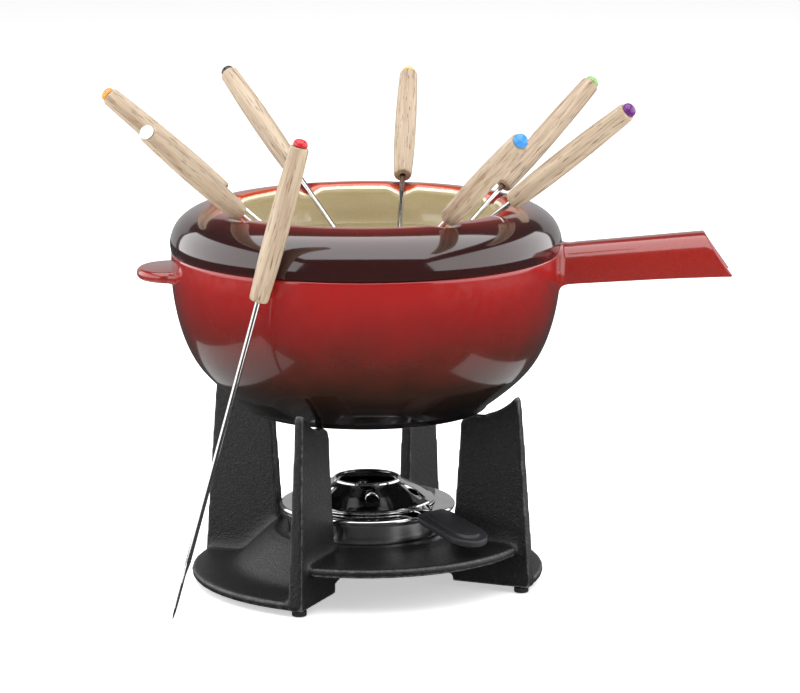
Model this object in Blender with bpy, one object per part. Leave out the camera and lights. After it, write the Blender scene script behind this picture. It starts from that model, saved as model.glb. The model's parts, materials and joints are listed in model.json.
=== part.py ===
"""Fondue set: an enamelled iron pot with a splash ring, eight forks, a cast
four-legged stand and a spirit burner with a regulator.

Lengths are in millimetres around the pot's vertical axis, with the table at
z = 0 and the long handle towards +X. Each piece is modelled there, then turned
into metres in the space of the empty that it hangs on, which stands on the axis
of the joint that moves it."""

import math

import bmesh
import bpy
import numpy as np
from mathutils import Matrix, Vector

for old in list(bpy.data.objects):
    bpy.data.objects.remove(old, do_unlink=True)

MM = 0.001
# The pot's axis, so that the whole set is centred on the origin.
AXIS = Vector((-27.07, -10.01, 0.0))
TO_FRAME = Matrix.Scale(MM, 4) @ Matrix.Translation(AXIS)
GAP = 0.3

POT_R = 111.0
POT_BASE_Z = 101.5
RIM_Z = 192.3
HANDLE_REACH = 192.0
HANDLE_SLANT = 15.0

LEG_AZ = (-23.0, 67.0, 157.0, 247.0)
LEG_NAMES = ("front_left", "front_right", "back_right", "back_left")
PLATFORM_Z = 28.8
FOOT_R, FOOT_H, FOOT_AT = 4.2, 3.0, 95.5

# Forks in the ring: name, azimuth of the notch, heading, slope, and distance
# from the notch to the lower end of the handle.
FORKS = (
    ("white", -55.1, -40.7, 36.1, 8.0),
    ("orange", -107.9, -111.1, 36.1, 8.0),
    ("black", -153.7, -145.3, 34.9, 14.3),
    ("yellow", 165.0, 176.9, 35.7, 8.0),
    ("green", 114.0, 131.7, 36.8, 9.7),
    ("purple", 65.2, 63.9, 38.3, 13.5),
    ("blue", 32.4, 30.8, 35.3, 8.4),
)
NOTCH_R, NOTCH_Z = 80.0, 216.8
NOTCH_CUT_R = 5.2
# The red fork leans on the ring: lower end of its handle, and its direction.
RED_AT = Vector((-57.7, -105.3, 181.4))
RED_TO = Vector((0.26464, -0.02745, 0.96395)).normalized()
SHAFT_R, SHAFT_OUT, TANG = 1.5, 186.5, 38.0
BARREL_L, BORE_R, CAP_BORE_R, CAP_BORE = 88.0, 1.85, 2.35, 7.2
TINE_L, TINE_HALF, TINE_THICK = 32.0, 3.0, 1.3

VENTS, VENT_AZ, VENT_AT, VENT_R = 6, 6.0, 29.2, 3.7
LEVER_AZ = 43.0
REGULATOR_Z = 46.0
GRIP_FALL = 0.238


# ---------------------------------------------------------------- tools


def around(azimuth):
    """Unit vector of an azimuth in degrees from -Y towards +X."""
    a = math.radians(azimuth)
    return Vector((math.sin(a), -math.cos(a), 0.0))


def lift(z):
    return Vector((0.0, 0.0, z))


def spline(knots, count):
    """Natural cubic spline through the knots, as count points."""
    p = np.array(knots, float)
    t = np.concatenate([[0], np.cumsum(np.linalg.norm(np.diff(p, axis=0), axis=1))])
    last = len(p) - 1
    step = np.diff(t)
    rows, right = np.eye(last + 1), np.zeros_like(p)
    for i in range(1, last):
        rows[i, i - 1 : i + 2] = step[i - 1], 2 * (step[i - 1] + step[i]), step[i]
        right[i] = 6 * ((p[i + 1] - p[i]) / step[i] - (p[i] - p[i - 1]) / step[i - 1])
    bend = np.linalg.solve(rows, right)
    s = np.linspace(0, t[-1], count)
    i = np.clip(np.searchsorted(t, s, side="right") - 1, 0, last - 1)
    before, after = (t[i + 1] - s)[:, None], (s - t[i])[:, None]
    span = step[i][:, None]
    out = (bend[i] * before**3 + bend[i + 1] * after**3) / (6 * span)
    out += (p[i] / span - bend[i] * span / 6) * before
    out += (p[i + 1] / span - bend[i + 1] * span / 6) * after
    return [tuple(q) for q in out]


def new_object(name, bm):
    bmesh.ops.recalc_face_normals(bm, faces=bm.faces)
    mesh = bpy.data.meshes.new(name)
    bm.to_mesh(mesh)
    bm.free()
    obj = bpy.data.objects.new(name, mesh)
    bpy.context.scene.collection.objects.link(obj)
    return obj


def lathe(name, outline, sides):
    """A closed (r, z) outline spun about Z."""
    bm = bmesh.new()
    verts = [bm.verts.new((r, 0, z)) for r, z in outline]
    edges = []
    for a, b in zip(verts, verts[1:] + verts[:1]):
        if max(a.co.x, b.co.x) > 0:
            edges.append(bm.edges.new((a, b)))
    bmesh.ops.spin(
        bm,
        geom=verts + edges,
        axis=(0, 0, 1),
        angle=2 * math.pi,
        steps=sides,
        use_merge=True,
    )
    bmesh.ops.remove_doubles(bm, verts=bm.verts, dist=0.001)
    return new_object(name, bm)


def loft(name, sections):
    """Closed skin through equal closed sections, with end faces."""
    bm = bmesh.new()
    rings = [[bm.verts.new(p) for p in section] for section in sections]
    for a, b in zip(rings, rings[1:]):
        for k in range(len(a)):
            q = (k + 1) % len(a)
            bm.faces.new((a[k], a[q], b[q], b[k]))
    bm.faces.new(rings[0])
    bm.faces.new(rings[-1][::-1])
    return new_object(name, bm)


def swept(name, outline, start, end, steps):
    """A closed (r, z) outline turned from one azimuth to another."""
    sections = []
    for i in range(steps + 1):
        d = around(start + (end - start) * i / steps)
        sections.append([d * r + lift(z) for r, z in outline])
    return loft(name, sections)


def boolean(target, tools, operation):
    for tool in tools:
        modifier = target.modifiers.new(operation.lower(), "BOOLEAN")
        modifier.operation = operation
        modifier.object = tool
        bpy.context.view_layer.update()
        graph = bpy.context.evaluated_depsgraph_get()
        target.data = bpy.data.meshes.new_from_object(target.evaluated_get(graph))
        target.modifiers.clear()
        bpy.data.objects.remove(tool, do_unlink=True)
    return target


def clean(obj):
    """Merges what a Boolean leaves closer than it can matter, and flat faces."""
    bm = bmesh.new()
    bm.from_mesh(obj.data)
    bmesh.ops.remove_doubles(bm, verts=bm.verts, dist=0.02)
    bmesh.ops.dissolve_limit(
        bm, angle_limit=math.radians(0.4), verts=bm.verts, edges=bm.edges
    )
    bmesh.ops.triangulate(bm, faces=bm.faces)
    bmesh.ops.recalc_face_normals(bm, faces=bm.faces)
    bm.to_mesh(obj.data)
    bm.free()
    return obj


def along(at, direction):
    """Local Z along the direction, local X level."""
    z = direction.normalized()
    x = Vector((0, 0, 1)).cross(z).normalized()
    turn = Matrix((x, z.cross(x), z)).transposed().to_4x4()
    return Matrix.Translation(at) @ turn


# ---------------------------------------------------------------- bodies

EMPTIES = {}
WORLD = {}


def body(name, parent=None, origin=Matrix.Identity(4)):
    """Empty on the axis of the body's joint, hung on what carries it."""
    empty = bpy.data.objects.new(name + "_body", None)
    empty.empty_display_size = 20 * MM
    bpy.context.scene.collection.objects.link(empty)
    world = TO_FRAME @ origin @ Matrix.Scale(1 / MM, 4)
    WORLD[name], EMPTIES[name] = world, empty
    if parent:
        empty.parent = EMPTIES[parent]
        empty.matrix_basis = WORLD[parent].inverted() @ world
    else:
        empty.matrix_basis = world


def dress(obj, on, material, sharp=32.0):
    """Hangs a finished piece on its body's empty, smooth but for its edges."""
    obj.parent = EMPTIES[on]
    if not obj.data.materials:
        obj.data.materials.append(material)
        obj.data.shade_smooth()
        obj.data.set_sharp_from_angle(angle=math.radians(sharp))
    return obj


def seat(obj, on, material, sharp=32.0):
    """The same for a piece modelled around the pot's axis."""
    obj.data.transform(WORLD[on].inverted() @ TO_FRAME)
    return dress(obj, on, material, sharp)


def material(name, colour, roughness, metallic=0.0):
    made = bpy.data.materials.new(name)
    made.use_nodes = True
    shader = made.node_tree.nodes["Principled BSDF"]
    shader.inputs["Base Color"].default_value = (*colour, 1.0)
    shader.inputs["Roughness"].default_value = roughness
    shader.inputs["Metallic"].default_value = metallic
    return made


POT_ENAMEL = material("pot_enamel", (0.55, 0.035, 0.02), 0.12)
RING_ENAMEL = material("ring_enamel", (0.16, 0.03, 0.025), 0.10)
IRON = material("stand_iron", (0.03, 0.03, 0.032), 0.55)
RUBBER = material("foot_rubber", (0.03, 0.03, 0.03), 0.80)
WOOD = material("handle_wood", (0.60, 0.43, 0.24), 0.42)
STEEL = material("fork_steel", (0.72, 0.71, 0.70), 0.15, 1.0)
CHROME = material("burner_steel", (0.72, 0.72, 0.72), 0.08, 1.0)
GAUZE = material("gauze_steel", (0.45, 0.45, 0.44), 0.45, 1.0)
WADDING = material("fuel_wadding", (0.75, 0.73, 0.68), 0.95)
PLASTIC = material("grip_plastic", (0.03, 0.03, 0.032), 0.45)
CAP_COLOURS = {
    "white": (0.86, 0.86, 0.84),
    "orange": (0.75, 0.30, 0.05),
    "black": (0.03, 0.03, 0.035),
    "yellow": (0.85, 0.62, 0.10),
    "green": (0.24, 0.47, 0.15),
    "purple": (0.14, 0.02, 0.18),
    "blue": (0.04, 0.25, 0.62),
    "red": (0.55, 0.02, 0.03),
}

body("stand")
body("burner_cup", "stand")
body("burner_cover", "burner_cup")
body("regulator", "burner_cover", Matrix.Translation((0, 0, REGULATOR_Z)))
body("pot", "stand")
body("splash_ring", "pot", Matrix.Translation((0, 0, RIM_Z)))


# ---------------------------------------------------------------- pot


def pot():
    outer = [(0, 102.4), (60.5, 102.4), (61.6, POT_BASE_Z), (67.8, POT_BASE_Z), (69.8, 102.6)]
    outer += spline(
        [(70.8, 104.6), (84, 114.7), (95.8, 126.9), (104, 142.6), (109, 161.2), (POT_R, 181), (110.9, 190)],
        18,
    )
    outer += [(110.4, 191.6), (109.2, RIM_Z), (107.0, RIM_Z), (106.1, 191.7)]
    inner = spline(
        [(105.9, 190.4), (106, 178), (103.2, 156), (94.2, 133.4), (79.2, 116.9), (68, 108.5), (58, 106.2)],
        16,
    )
    return lathe("pot", outer + inner + [(0, 105.9)], 48)


def arch(x, top, low, half, wall, steps=8):
    """Section of the long handle: an inverted U, out over it and back under."""
    points = []
    for reach, crown, order in ((half, top, 1), (half - wall, top - wall, -1)):
        side = []
        for i in range(steps + 1):
            a = math.pi * (1 - i / steps)
            y = reach * math.copysign(abs(math.cos(a)) ** 0.62, math.cos(a))
            side.append(Vector((x, y, low + (crown - low) * abs(math.sin(a)) ** 0.72)))
        points += side[::order]
    return points


def long_handle():
    """Cast channel, open below, widening from a collar at the bowl to an end
    cut on a slant."""
    sections = []
    start, steps = 108.6, 6
    for k in range(steps + 1):
        u = k / steps
        top, low = 194.6 + 7.0 * u, 173.2 + 4.6 * u
        section = arch(start + (HANDLE_REACH - start) * u, top, low, 14.0 + 1.6 * u, 3.8)
        if k == steps:
            for p in section:
                p.x += HANDLE_SLANT * max(0.0, (top - p.z) / (top - low)) ** 1.15
        sections.append(section)
    channel = loft("long_handle", sections)
    collar = [arch(108.2, 195.0, 170.8, 17.0, 5.0), arch(113.0, 194.6, 172.6, 14.6, 4.2)]
    return boolean(channel, [loft("collar", collar)], "UNION")


def lug():
    """Rounded tab on the other side of the bowl."""
    root, tip, half, steps = -106.5, -112.0, 23.5, 14
    outline = [(root, 27.0)]
    for i in range(steps + 1):
        a = math.pi * (0.5 + i / steps)
        outline.append((tip + 18.9 * math.cos(a), half * math.sin(a)))
    outline.append((root, -27.0))
    sections = []
    for z, inset in ((176.2, 2.2), (177.4, 0.6), (179.2, 0.0), (181.0, 0.5), (182.2, 2.0)):
        section = []
        for x, y in outline:
            share = 1 - inset / math.hypot(x - root, y)
            section.append((root + (x - root) * share, y * share, z))
        sections.append(section)
    return loft("lug", sections)


def clear_of_bowl():
    """What the handle and the lug keep clear of: the bowl, and the ring on it."""
    at_bowl, at_ring, step = POT_R + GAP, POT_R + 3 * GAP, RIM_Z - 1.0
    outline = [(0, 90), (at_bowl, 90), (at_bowl, step), (at_ring, step), (at_ring, 210), (0, 210)]
    return lathe("bowl_space", outline, 96)


seat(pot(), "pot", POT_ENAMEL)
for piece in (long_handle(), lug()):
    boolean(piece, [clear_of_bowl()], "DIFFERENCE")
    seat(clean(piece), "pot", POT_ENAMEL)


# ---------------------------------------------------------------- ring


def notch(name, azimuth, heading, slope):
    """Where a fork's axis crosses the lip, and the way the fork points."""
    at = around(azimuth) * NOTCH_R + lift(NOTCH_Z)
    s = math.radians(slope)
    return at, around(heading) * math.cos(s) + lift(math.sin(s))


def ring():
    outer = [(111.0, RIM_Z + GAP)]
    outer += spline(
        [(111.4, 194), (111.5, 197), (109, 205.9), (101, 213.5), (87.6, 217.8), (80.2, 217.5), (76.9, 214.7)],
        16,
    )
    inner = spline([(78.8, 212.6), (88.4, 213), (97.6, 210), (103.2, 203.8), (103.4, 195.6)], 11)
    lip = [(102.4, 191.4), (102.9, 189.9), (104.8, 189.8), (105.2, 190.6), (105.3, RIM_Z + GAP)]
    shell = lathe("splash_ring", outer + inner + lip, 54)
    cuts = []
    for name, azimuth, heading, slope, _ in FORKS:
        at, direction = notch(name, azimuth, heading, slope)
        matrix = along(at, direction)
        rise = matrix.to_3x3() @ Vector((0, 1, 0))
        rise *= math.copysign(NOTCH_CUT_R - SHAFT_R - 0.35, rise.z)
        cut = lathe("cut", [(0, -22), (NOTCH_CUT_R, -22), (NOTCH_CUT_R, 34), (0, 34)], 20)
        cut.data.transform(Matrix.Translation(rise) @ matrix)
        cuts.append(cut)
    return clean(boolean(shell, cuts, "DIFFERENCE"))


seat(ring(), "splash_ring", RING_ENAMEL)


# ---------------------------------------------------------------- forks
# A fork's own space: local Z along it, z = 0 at the lower end of its handle.


def shaft():
    """Round wire, flattened into two tines with a slot between them."""
    half = [(1.9, 0.0), (TINE_HALF, 4.5), (TINE_HALF, 22.5), (2.5, 26.5), (1.0, TINE_L)]
    slot = [(1.35, 4.5), (1.25, 20.0), (0.7, 22.0)]
    outline = half + [(-x, z) for x, z in half[::-1]]
    outline += [(-x, z) for x, z in slot] + slot[::-1]
    faces = []
    for y in (-TINE_THICK / 2, TINE_THICK / 2):
        faces.append([(x, y, z - SHAFT_OUT) for x, z in outline])
    tines = loft("shaft", faces)
    foot = [(0, 27.5 - SHAFT_OUT), (0.7, 27.9 - SHAFT_OUT), (SHAFT_R, 31.0 - SHAFT_OUT)]
    top = [(SHAFT_R, TANG - 0.6), (SHAFT_R - 0.6, TANG), (0, TANG)]
    return clean(boolean(tines, [lathe("rod", foot + top, 8)], "UNION"))


def barrel():
    """Turned handle: a bore for the tang below and one for the cap above."""
    bulge = spline([(5.5, 1.3), (5.9, 14), (6.3, 38), (6.1, 60), (5.25, BARREL_L - 1.4)], 6)
    outline = [(BORE_R, 0), (4.6, 0)] + bulge + [(4.5, BARREL_L), (CAP_BORE_R, BARREL_L)]
    floor = BARREL_L - CAP_BORE
    outline += [(CAP_BORE_R, floor), (0, floor), (0, TANG + 2), (BORE_R, TANG + 2)]
    return lathe("barrel", outline, 12)


def cap():
    """Coloured bead with a peg in the handle's end."""
    peg = CAP_BORE_R - GAP
    low, seat_z = BARREL_L - 6.6, BARREL_L + GAP
    outline = [(0, low), (peg - 0.35, low), (peg, low + 0.5), (peg, seat_z), (4.0, seat_z)]
    dome = spline([(4.1, BARREL_L + 1.1), (2.6, BARREL_L + 3.6), (0, BARREL_L + 4.3)], 5)
    return lathe("cap", outline + dome, 10)


def in_metres(obj):
    mesh = obj.data
    mesh.transform(Matrix.Scale(MM, 4))
    bpy.data.objects.remove(obj, do_unlink=True)
    return mesh


def fork(name, at, direction, models):
    body("fork_" + name, "splash_ring", along(at, direction))
    colour = material("cap_" + name, CAP_COLOURS[name], 0.28)
    for part, finish in (("shaft", STEEL), ("handle", WOOD), ("cap", colour)):
        mesh = models[part].copy() if part == "cap" else models[part]
        obj = bpy.data.objects.new(f"fork_{name}_{part}", mesh)
        bpy.context.scene.collection.objects.link(obj)
        dress(obj, "fork_" + name, finish, 50.0)


models = {"shaft": in_metres(shaft()), "handle": in_metres(barrel()), "cap": in_metres(cap())}
for name, azimuth, heading, slope, out in FORKS:
    lip_at, direction = notch(name, azimuth, heading, slope)
    fork(name, lip_at + direction * out, direction, models)
fork("red", RED_AT, RED_TO, models)


# ---------------------------------------------------------------- stand

HIGH_PLATE = ((50.0, 22.4), (94.2, 22.4), (95.0, 23.2), (95.0, 26.6), (94.0, 27.6), (50.0, 28.2))
LOW_PLATE = (
    (50.5, 24.6), (53.0, 24.0), (72.5, 4.6), (75.0, 3.3), (100.4, 3.3), (101.4, 4.3), (101.4, 7.2),
    (100.4, 8.2), (79.0, 8.2), (76.0, 9.2), (56.8, 27.6), (53.8, 29.0), (50.5, 29.0),
)
PLATES = (
    (HIGH_PLATE, -24.1, 67.9),
    (LOW_PLATE, 66.2, 158.1),
    (HIGH_PLATE, 156.3, 247.9),
    (LOW_PLATE, 246.2, 337.7),
)


def blade(azimuth):
    """One leg, thicker towards the table, with a seat for the pot's base and a
    tip that rises behind it."""
    foot = [(54.5, 3.3), (101.2, 3.3), (102.0, 4.6)]
    outside = spline([(101.0, 20.0), (97.8, 66.0), (95.2, 104.0), (94.6, 111.0)], 4)
    tip = [(93.6, 113.4)]
    tip += spline([(92.2, 113.2), (88.4, 109.4), (83.6, 106.0), (78.4, 103.4), (74.6, 102.3)], 6)
    seat_z = POT_BASE_Z - GAP
    saddle = [(73.4, seat_z), (65.0, seat_z), (60.0, 98.2), (59.2, 96.8)]
    inside = [(57.2, 66.0), (55.2, 38.0), (54.5, 28.0)]
    d, t = around(azimuth), around(azimuth + 90)
    sections = []
    for side in (-1, 1):
        section = []
        for r, z in foot + outside + tip + saddle + inside:
            half = 4.5 - 2.0 * min(1.0, z / 112.0)
            section.append(d * r + t * (side * half) + lift(z))
        sections.append(section)
    return loft("blade", sections)


def web(azimuth):
    """The leg carried on under the platform towards its middle."""
    d, t = around(azimuth), around(azimuth + 90)
    outline = ((30.0, 12.0), (30.0, 26.0), (60.0, 26.0), (60.0, 5.0))
    return loft("web", [[d * r + t * side + lift(z) for r, z in outline] for side in (-2.6, 2.6)])


def stand():
    """One casting: platform with a recess for the burner, four plates that
    stand high and low by turns, and a leg where they meet."""
    platform = [(0, 24.4), (54.0, 24.4), (54.7, 25.2), (54.7, 29.4), (54.1, 30.0), (47.6, 30.0)]
    platform += [(47.0, 29.4), (47.0, PLATFORM_Z), (0, PLATFORM_Z)]
    parts = [swept("plate", outline, start, end, 14) for outline, start, end in PLATES]
    parts += [blade(a) for a in LEG_AZ]
    parts += [web(a) for a in LEG_AZ]
    return clean(boolean(lathe("stand", platform, 64), parts, "UNION"))


def foot(name, azimuth):
    outline = [(0, 0), (FOOT_R - 0.6, 0), (FOOT_R, 0.6), (FOOT_R, FOOT_H), (0, FOOT_H)]
    obj = lathe("foot_" + name, outline, 16)
    obj.data.transform(Matrix.Translation(around(azimuth) * FOOT_AT))
    return obj


seat(stand(), "stand", IRON)
for name, azimuth in zip(LEG_NAMES, LEG_AZ):
    seat(foot(name, azimuth), "stand", RUBBER)


# ---------------------------------------------------------------- burner


def cup():
    """Pan that holds the fuel, with a flange round its rim."""
    outside = [(0, 29.1), (45.2, 29.1), (46.0, 29.9), (46.0, 39.6), (46.3, 40.4), (48.6, 40.6)]
    inside = [(48.6, 41.4), (45.8, 41.2), (45.0, 40.2), (45.0, 30.1), (0, 30.1)]
    return lathe("burner_cup", outside + inside, 40)


def disc(name, radius, low, high, bevel):
    outline = [(0, low), (radius - bevel, low), (radius, low + bevel), (radius, high - bevel)]
    return lathe(name, outline + [(radius - bevel, high), (0, high)], 28)


def pierced(shell):
    """The vents go through the cover and the regulator's hood together."""
    cuts = []
    for k in range(VENTS):
        d = around(VENT_AZ + 360.0 / VENTS * k)
        cut = lathe("vent", [(0, -6), (VENT_R, -6), (VENT_R, 8), (0, 8)], 10)
        cut.data.transform(along(d * VENT_AT + lift(52.4), d * 0.45 + lift(0.89)))
        cuts.append(cut)
    return clean(boolean(shell, cuts, "DIFFERENCE"))


def cover():
    """Pressed lid: rolled rim, skirt that pushes into the cup, and a cone up to
    the burner's mouth."""
    rim = [(50.7, 43.4), (50.2, 44.5), (48.8, 45.1), (40.0, 45.3), (34.9, 45.4), (34.2, 46.5)]
    cone = [(29.0, 50.4), (21.0, 54.8), (18.0, 56.0), (16.9, 57.6), (16.2, 57.3), (17.1, 55.3)]
    cone += [(20.6, 53.9), (28.5, 49.6), (33.2, 45.9), (33.8, 44.5), (44.0, 44.3)]
    skirt = [(43.6, 43.4), (43.6, 37.4), (44.4, 37.4), (44.4, 43.0), (45.2, 44.2), (48.6, 44.1)]
    roll = [(49.5, 43.7), (49.8, 43.0), (49.4, 42.2), (48.0, 42.5), (47.6, 41.8), (49.6, 41.5)]
    return lathe("burner_cover", rim + cone + skirt + roll + [(50.6, 42.3)], 40)


def hood():
    """Second cone, which turns over the cover and shades its vents."""
    outside = [(38.6, 46.7), (38.7, 47.3), (37.9, 47.9), (35.6, 49.0), (29.4, 53.0), (21.6, 57.0)]
    lip = [(19.9, 58.0), (19.4, 59.0), (18.6, 59.3), (17.9, 58.8), (18.2, 57.9)]
    inside = [(19.3, 57.0), (21.2, 56.1), (29.0, 52.1), (35.2, 48.2), (37.6, 46.9), (38.0, 46.5)]
    return lathe("regulator_hood", outside + lip + inside, 40)


def strip(name, path, left, right, low, high):
    """Bar along the lever: path points are (r, z, half width)."""
    d, t = around(LEVER_AZ), around(LEVER_AZ + 90)
    sections = []
    for r, z, w in path:
        c = d * r + lift(z)
        corners = ((left + w, high), (right - w, high), (right - w, low), (left + w, low))
        sections.append([c + t * across + lift(up) for across, up in corners])
    return loft(name, sections)


def lever():
    """Flat ring under the hood's rim, its stem, and an ear folded up beside it."""
    flat = lathe("regulator_lever", [(35.8, 45.7), (39.6, 45.7), (39.6, 46.3), (35.8, 46.3)], 40)
    stem = [(37, 46, 11), (41, 46, 8.5), (44, 47.2, 6), (47, 47.4, 5.5), (52, 46.2, 5), (80, 39.54, 5)]
    ear = [(43.0, 46.9, 0.8), (45.4, 49.4, 0.8), (49.6, 47.6, 0.8)]
    tools = [strip("stem", stem, 0, 0, -0.35, 0.35), strip("ear", ear, 3.4, 3.4, -1.2, 0.3)]
    return clean(boolean(flat, tools, "UNION"))


def tongue(name, start, end, half, low, high, bevel):
    """Slab with a round outer end, which falls as it runs out."""
    d, t, steps = around(LEVER_AZ), around(LEVER_AZ + 90), 8
    sections = []
    for rise, inset in ((low, bevel), (low + bevel, 0.0), (high - bevel, 0.0), (high, bevel)):
        r0, r1, w = start + inset, end - inset, half - inset
        outline = [(r0, w * 0.72), (r0 + 7.0, w)]
        for i in range(steps + 1):
            a = math.pi * (0.5 - i / steps)
            outline.append((r1 - w + w * math.cos(a), w * math.sin(a)))
        outline += [(r0 + 7.0, -w), (r0, -w * 0.72)]
        sections.append([d * r + t * y + lift(grip_z(r) + rise) for r, y in outline])
    return loft(name, sections)


def grip_z(r):
    return 46.2 - (r - 52.0) * GRIP_FALL


def grip():
    """Plastic tongue with a raised pad, slotted for the stem."""
    handle = tongue("lever_grip", 52.2, 94.0, 12.8, -2.4, 1.6, 0.7)
    boolean(handle, [tongue("pad", 57.0, 89.5, 8.0, 0.6, 3.0, 0.8)], "UNION")
    path = [(r, grip_z(r), 5.5) for r in (48.0, 81.0)]
    return clean(boolean(handle, [strip("slot", path, 0, 0, -0.85, 0.75)], "DIFFERENCE"))


seat(cup(), "burner_cup", CHROME)
seat(disc("fuel_pad", 34.0, 30.4, 37.8, 0.8), "burner_cup", WADDING)
seat(disc("wick_gauze", 35.0, 38.1, 39.2, 0.3), "burner_cup", GAUZE)
seat(pierced(cover()), "burner_cover", CHROME)
seat(pierced(hood()), "regulator", CHROME)
seat(lever(), "regulator", CHROME)
seat(grip(), "regulator", PLASTIC)
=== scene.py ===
"""Looks of the fondue pot set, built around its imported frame.

Sizes are in millimetres around the pot's vertical axis, as the set was designed,
and become metres in the frame where a mesh is made. Where a piece sits comes
from the frame: the axis from the burner's cup, each fork's line from its joint
and its handle, each foot from its own box."""

import json
import math

import bmesh
import bpy
import numpy as np
from mathutils import Matrix, Vector


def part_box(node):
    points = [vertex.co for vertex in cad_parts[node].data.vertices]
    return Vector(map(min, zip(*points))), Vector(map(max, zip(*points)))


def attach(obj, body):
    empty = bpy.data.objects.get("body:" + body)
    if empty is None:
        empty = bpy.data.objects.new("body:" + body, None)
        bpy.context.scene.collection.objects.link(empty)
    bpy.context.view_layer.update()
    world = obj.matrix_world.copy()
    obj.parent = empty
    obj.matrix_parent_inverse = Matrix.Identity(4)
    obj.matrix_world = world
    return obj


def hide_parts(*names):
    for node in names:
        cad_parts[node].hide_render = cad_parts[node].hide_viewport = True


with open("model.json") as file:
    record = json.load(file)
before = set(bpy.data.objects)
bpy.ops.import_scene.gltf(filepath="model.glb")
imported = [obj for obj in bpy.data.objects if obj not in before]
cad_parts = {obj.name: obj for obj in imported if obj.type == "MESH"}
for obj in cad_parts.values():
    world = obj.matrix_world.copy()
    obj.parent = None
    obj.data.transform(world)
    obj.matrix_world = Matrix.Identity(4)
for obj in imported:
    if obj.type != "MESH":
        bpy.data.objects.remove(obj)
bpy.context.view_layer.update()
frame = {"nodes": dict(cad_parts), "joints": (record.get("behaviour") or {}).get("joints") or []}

MM = 0.001
SHARP_ANGLE = 38.0


def box_centre(node):
    low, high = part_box(node)
    return (low + high) / 2


AXIS = box_centre("burner_cup")
AXIS.z = 0.0


# ---------------------------------------------------------------- outlines


def spline(knots, count):
    """Natural cubic spline through the knots, as count points."""
    p = np.array(knots, float)
    t = np.concatenate([[0], np.cumsum(np.linalg.norm(np.diff(p, axis=0), axis=1))])
    last = len(p) - 1
    step = np.diff(t)
    rows, right = np.eye(last + 1), np.zeros_like(p)
    for i in range(1, last):
        rows[i, i - 1 : i + 2] = step[i - 1], 2 * (step[i - 1] + step[i]), step[i]
        slope = (p[i + 1] - p[i]) / step[i] - (p[i] - p[i - 1]) / step[i - 1]
        right[i] = 6 * slope
    bend = np.linalg.solve(rows, right)
    s = np.linspace(0, t[-1], count)
    i = np.clip(np.searchsorted(t, s, side="right") - 1, 0, last - 1)
    before, after = (t[i + 1] - s)[:, None], (s - t[i])[:, None]
    span = step[i][:, None]
    out = bend[i] * before**3 + bend[i + 1] * after**3
    out = out / (6 * span)
    out += (p[i] / span - bend[i] * span / 6) * before
    out += (p[i + 1] / span - bend[i + 1] * span / 6) * after
    return [tuple(q) for q in out]


def rounded(corners, steps=5, closed=True):
    """Corners (r, z) or (r, z, radius), each with a radius turned into a curve."""
    out = []
    count = len(corners)
    for i, corner in enumerate(corners):
        here = Vector(corner[:2])
        radius = corner[2] if len(corner) > 2 else 0
        at_end = not closed and i in (0, count - 1)
        if radius <= 0 or at_end:
            out.append(tuple(here))
            continue
        back = Vector(corners[i - 1][:2]) - here
        on = Vector(corners[(i + 1) % count][:2]) - here
        half = back.angle(on) / 2
        reach = min(radius / math.tan(half), 0.48 * back.length, 0.48 * on.length)
        start, end = here + back.normalized() * reach, here + on.normalized() * reach
        for k in range(steps + 1):
            u = k / steps
            q = start * (1 - u) ** 2 + here * (2 * u * (1 - u)) + end * u * u
            out.append(tuple(q))
    return out


def sheet(path, thickness):
    """Closed outline of a sheet whose middle follows the path."""
    p = np.array(path, float)
    along = np.gradient(p, axis=0)
    along /= np.linalg.norm(along, axis=1)[:, None]
    side = np.stack([-along[:, 1], along[:, 0]], 1) * thickness / 2
    return [tuple(q) for q in p + side] + [tuple(q) for q in (p - side)[::-1]]


# ---------------------------------------------------------------- meshes


def finish_mesh(name, bm, sharp=SHARP_ANGLE):
    """A mesh object from bm, facing out, smooth but for its sharp edges."""
    bmesh.ops.recalc_face_normals(bm, faces=bm.faces)
    mesh = bpy.data.meshes.new(name)
    bm.to_mesh(mesh)
    bm.free()
    obj = bpy.data.objects.new(name, mesh)
    bpy.context.scene.collection.objects.link(obj)
    smooth(obj, sharp)
    return obj


def smooth(obj, sharp=SHARP_ANGLE):
    obj.data.shade_smooth()
    obj.data.set_sharp_from_angle(angle=math.radians(sharp))


def place(obj, origin=AXIS):
    """From millimetres round the origin to metres in the frame."""
    obj.data.transform(Matrix.Translation(origin) @ Matrix.Scale(MM, 4))
    return obj


def lathe(name, outline, segments, marks=None):
    """A closed (r, z) outline turned about Z. marks: attribute name to one value
    for each outline point."""
    bm = bmesh.new()
    layers = {k: bm.verts.layers.float.new(k) for k in marks or {}}
    turn = [2 * math.pi * i / segments for i in range(segments)]
    rings = []
    for k, (r, z) in enumerate(outline):
        angles = turn if r > 1e-6 else [0.0]
        ring = [bm.verts.new((r * math.cos(a), r * math.sin(a), z)) for a in angles]
        for key, layer in layers.items():
            for v in ring:
                v[layer] = marks[key][k]
        rings.append(ring)
    skin(bm, rings, closed=True)
    return finish_mesh(name, bm)


def skin(bm, rings, closed=False):
    """Faces between one ring of points and the next; a ring may be one point."""
    pairs = list(zip(rings, rings[1:]))
    if closed:
        pairs.append((rings[-1], rings[0]))
    for a, b in pairs:
        n = max(len(a), len(b))
        if n == 1:
            continue
        for i in range(n):
            j = (i + 1) % n
            if len(a) == 1:
                bm.faces.new((a[0], b[i], b[j]))
            elif len(b) == 1:
                bm.faces.new((a[i], a[j], b[0]))
            else:
                bm.faces.new((a[i], a[j], b[j], b[i]))


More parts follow.
